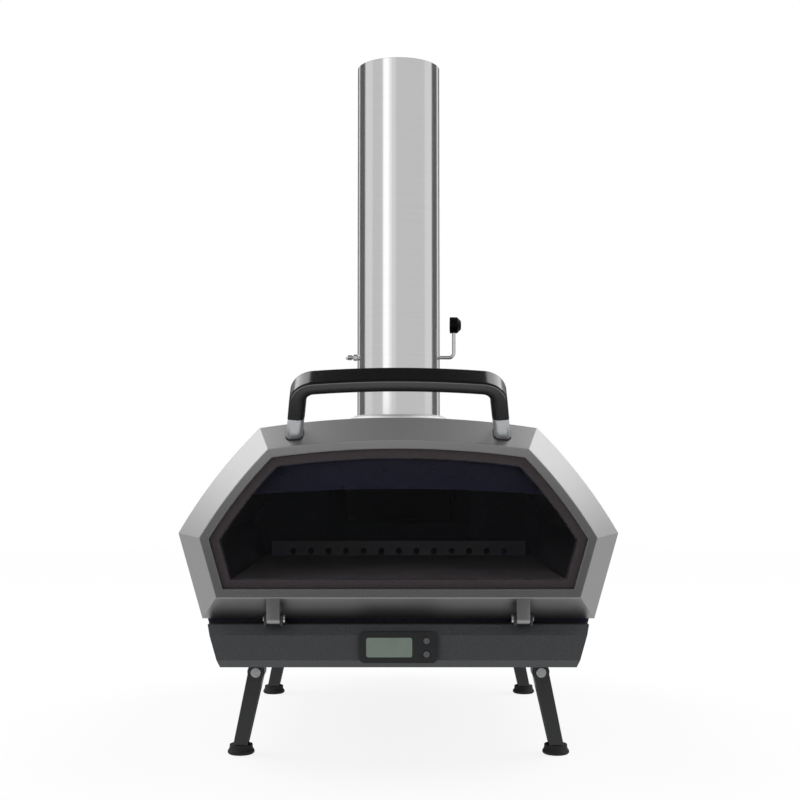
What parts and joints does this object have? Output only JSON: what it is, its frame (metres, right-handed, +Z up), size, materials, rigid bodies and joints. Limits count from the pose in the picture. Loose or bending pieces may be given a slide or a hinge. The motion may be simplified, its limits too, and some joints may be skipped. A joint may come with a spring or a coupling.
{
  "type": "wood fired pizza oven",
  "caption": "Outdoor wood fired pizza oven with a bright chimney and damper, a glazed drop-down door with a black grip, a rear fuel hatch and tray, and folding legs.",
  "frame": {"origin": "on the ground under the middle of the whole oven", "axes": "+Z up along the chimney, +X to the right seen from the front, the door faces -Y"},
  "size_m": [0.54, 0.7688, 0.928],
  "materials": {
    "casing_coat": "satin charcoal powder coat",
    "door_cast": "satin bead-blasted casting",
    "bright_steel": "polished bright stainless",
    "plain_steel": "plain rolled stainless",
    "collar_steel": "spun grey steel",
    "black_enamel": "blue-black vitreous enamel",
    "black_coat": "matte black powder coat",
    "post_metal": "satin",
    "grip_black": "satin black moulded nylon",
    "knob_black": "matte black phenolic",
    "seal_black": "woven black glass fibre",
    "gasket_dark": "pressed dark fibre",
    "fibre_white": "soft white ceramic fibre",
    "cordierite": "unglazed cordierite",
    "oven_glass": "clear glass ceramic",
    "lens_clear": "grey display behind a clear window",
    "button_grey": "matte",
    "fire_steel": "heat darkened steel",
    "foot_rubber": "matte"
  },
  "bodies": {
    "oven": {"outer_shell": "casing_coat", "base_pan": "black_coat", "front_plate": "black_enamel", "back_panel": "casing_coat", "fibre_blanket": "fibre_white", "chamber_liner": "plain_steel", "stone_rails": "plain_steel", "baking_stone": "cordierite", "flame_guard": "plain_steel", "door_seal": "seal_black", "front_fascia": "casing_coat", "flue_stub": "plain_steel", "chimney_collar": "collar_steel", "collar_screws": "plain_steel", "chimney_tube": "bright_steel", "hinge_brackets": "black_coat", "hinge_pins": "plain_steel", "gauge_housing": "knob_black", "gauge_lens": "lens_clear", "probe": "plain_steel", "fire_box": "casing_coat", "tray_runners": "plain_steel", "hatch_pin": "plain_steel", "leg_brackets": "black_coat", "leg_pins": "plain_steel"},
    "door": {"door_frame": "door_cast", "front_gasket": "gasket_dark", "door_glass": "oven_glass", "rear_gasket": "gasket_dark", "glass_retainer": "plain_steel", "retainer_screws": "plain_steel", "post_gaskets": "seal_black", "handle_posts": "post_metal", "handle_grip": "grip_black"},
    "damper": {"damper_rod": "plain_steel", "damper_plate": "plain_steel", "damper_clips": "plain_steel", "damper_nut": "plain_steel", "damper_cap": "plain_steel", "damper_knob": "knob_black"},
    "hatch": {"fuel_hatch": "casing_coat", "hatch_shield": "plain_steel", "hatch_posts": "post_metal", "hatch_grip": "grip_black"},
    "tray": {"fuel_tray": "fire_steel", "fuel_grate": "fire_steel", "tray_posts": "post_metal", "tray_grip": "grip_black", "shutter_guides": "fire_steel"},
    "shutter": {"air_shutter": "plain_steel"},
    "power_key": {"power_button": "button_grey"},
    "unit_key": {"unit_button": "button_grey"},
    "leg_front_left_body": {"leg_front_left": "black_coat", "foot_front_left": "foot_rubber"},
    "leg_front_right_body": {"leg_front_right": "black_coat", "foot_front_right": "foot_rubber"},
    "leg_rear_left_body": {"leg_rear_left": "black_coat", "foot_rear_left": "foot_rubber"},
    "leg_rear_right_body": {"leg_rear_right": "black_coat", "foot_rear_right": "foot_rubber"}
  },
  "joints": [
    {"name": "door_hinge", "type": "hinge", "parent": "oven", "child": "door", "pos_m": [0, -0.32804, 0.181], "axis": [1, 0, 0], "range_deg": [0, 90]},
    {"name": "damper_turn", "type": "hinge", "parent": "oven", "child": "damper", "pos_m": [0, -0.08004, 0.516], "axis": [1, 0, 0], "range_deg": [0, 90]},
    {"name": "hatch_hinge", "type": "hinge", "parent": "oven", "child": "hatch", "pos_m": [0, 0.27947, 0.34622], "axis": [1, 0, 0], "range_deg": [0, 110]},
    {"name": "tray_slide", "type": "slide", "parent": "oven", "child": "tray", "axis": [0, 1, 0], "range_m": [0, 0.1]},
    {"name": "shutter_slide", "type": "slide", "parent": "tray", "child": "shutter", "axis": [1, 0, 0], "range_m": [0, 0.015]},
    {"name": "power_press", "type": "slide", "parent": "oven", "child": "power_key", "axis": [0, 1, 0], "range_m": [0, 0.0012], "stiffness_N_per_m": 400},
    {"name": "unit_press", "type": "slide", "parent": "oven", "child": "unit_key", "axis": [0, 1, 0], "range_m": [0, 0.0012], "stiffness_N_per_m": 400},
    {"name": "fold_front_left", "type": "hinge", "parent": "oven", "child": "leg_front_left_body", "pos_m": [-0.18, -0.23504, 0.104], "axis": [0, -1, 0], "range_deg": [0, 95]},
    {"name": "fold_front_right", "type": "hinge", "parent": "oven", "child": "leg_front_right_body", "pos_m": [0.18, -0.23504, 0.104], "axis": [0, 1, 0], "range_deg": [0, 95]},
    {"name": "fold_rear_left", "type": "hinge", "parent": "oven", "child": "leg_rear_left_body", "pos_m": [-0.18, 0.17896, 0.104], "axis": [0, -1, 0], "range_deg": [0, 95]},
    {"name": "fold_rear_right", "type": "hinge", "parent": "oven", "child": "leg_rear_right_body", "pos_m": [0.18, 0.17896, 0.104], "axis": [0, 1, 0], "range_deg": [0, 95]}
  ]
}
